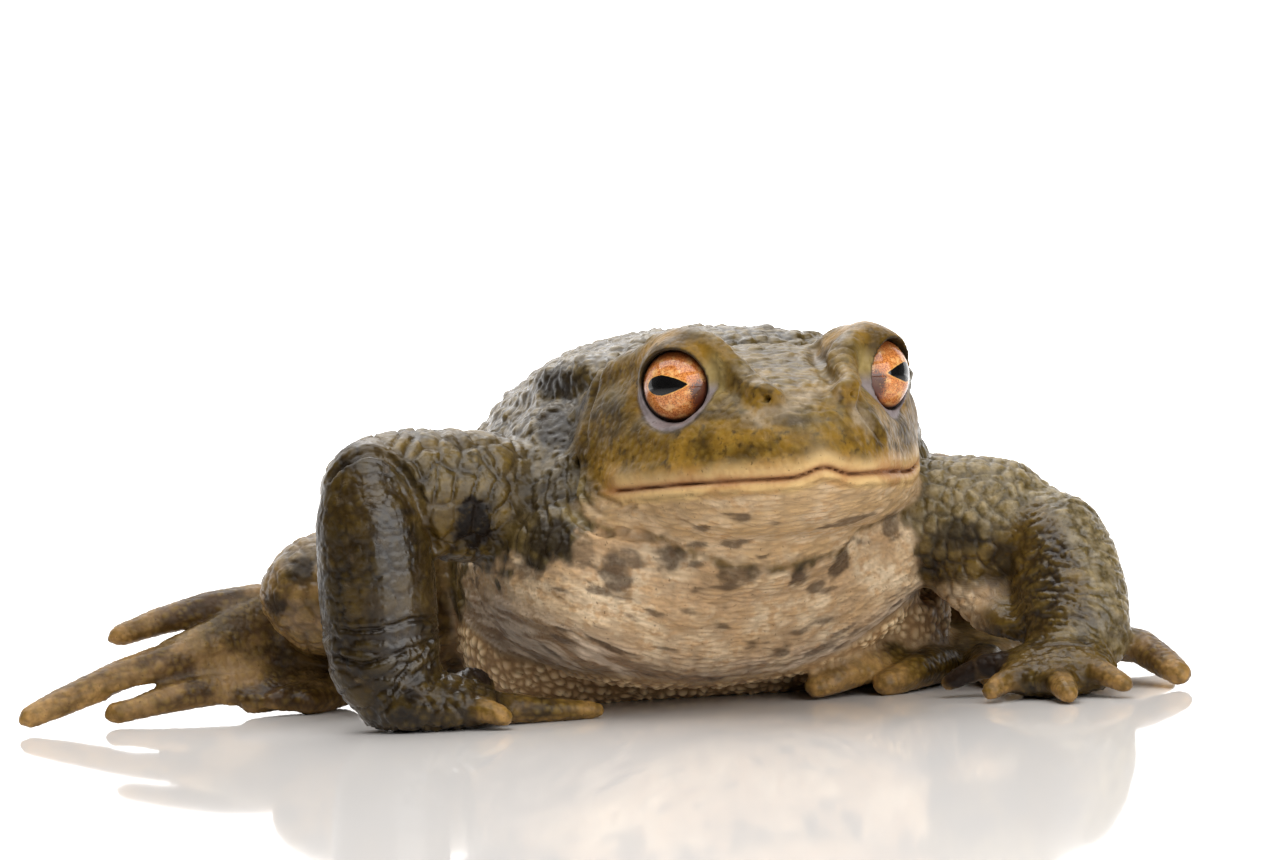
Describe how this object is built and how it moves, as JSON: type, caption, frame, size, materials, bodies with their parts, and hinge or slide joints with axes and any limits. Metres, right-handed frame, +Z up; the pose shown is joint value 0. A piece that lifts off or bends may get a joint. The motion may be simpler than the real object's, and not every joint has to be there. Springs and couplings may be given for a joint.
{
  "type": "common toad",
  "caption": "Life-size still model of a male common toad crouching with its elbows out, belly on the ground and one hind foot stretched to the side.",
  "frame": {"origin": "on the floor, in the middle of the flat patch of belly that the toad rests on", "axes": "the toad faces -Y, its left side is +X, and +Z is up"},
  "size_m": [0.0965, 0.0715, 0.0312],
  "materials": {
    "skin": "wet, warty skin, olive brown above and cream with dark blotches below",
    "eye": "wet glossy eye with a copper iris and a black level pupil"
  },
  "bodies": {
    "root": {"head": "skin", "lower_jaw": "skin", "chest": "skin", "belly": "skin", "rump": "skin", "parotoid_right": "skin", "parotoid_left": "skin", "upper_arm_right": "skin", "upper_arm_left": "skin", "forearm_right": "skin", "forearm_left": "skin", "hand_right": "skin", "hand_left": "skin", "thigh_right": "skin", "thigh_left": "skin", "shank_right": "skin", "shank_left": "skin", "ankle_right": "skin", "ankle_left": "skin", "foot_right": "skin", "foot_left": "skin", "finger_1_right": "skin", "finger_1_left": "skin", "finger_2_right": "skin", "finger_2_left": "skin", "finger_3_right": "skin", "finger_3_left": "skin", "finger_4_right": "skin", "finger_4_left": "skin", "toe_1_right": "skin", "toe_1_left": "skin", "toe_2_right": "skin", "toe_2_left": "skin", "toe_3_right": "skin", "toe_3_left": "skin", "toe_4_right": "skin", "toe_4_left": "skin", "toe_5_right": "skin", "toe_5_left": "skin", "eye_right": "eye", "eye_left": "eye"}
  },
  "joints": []
}
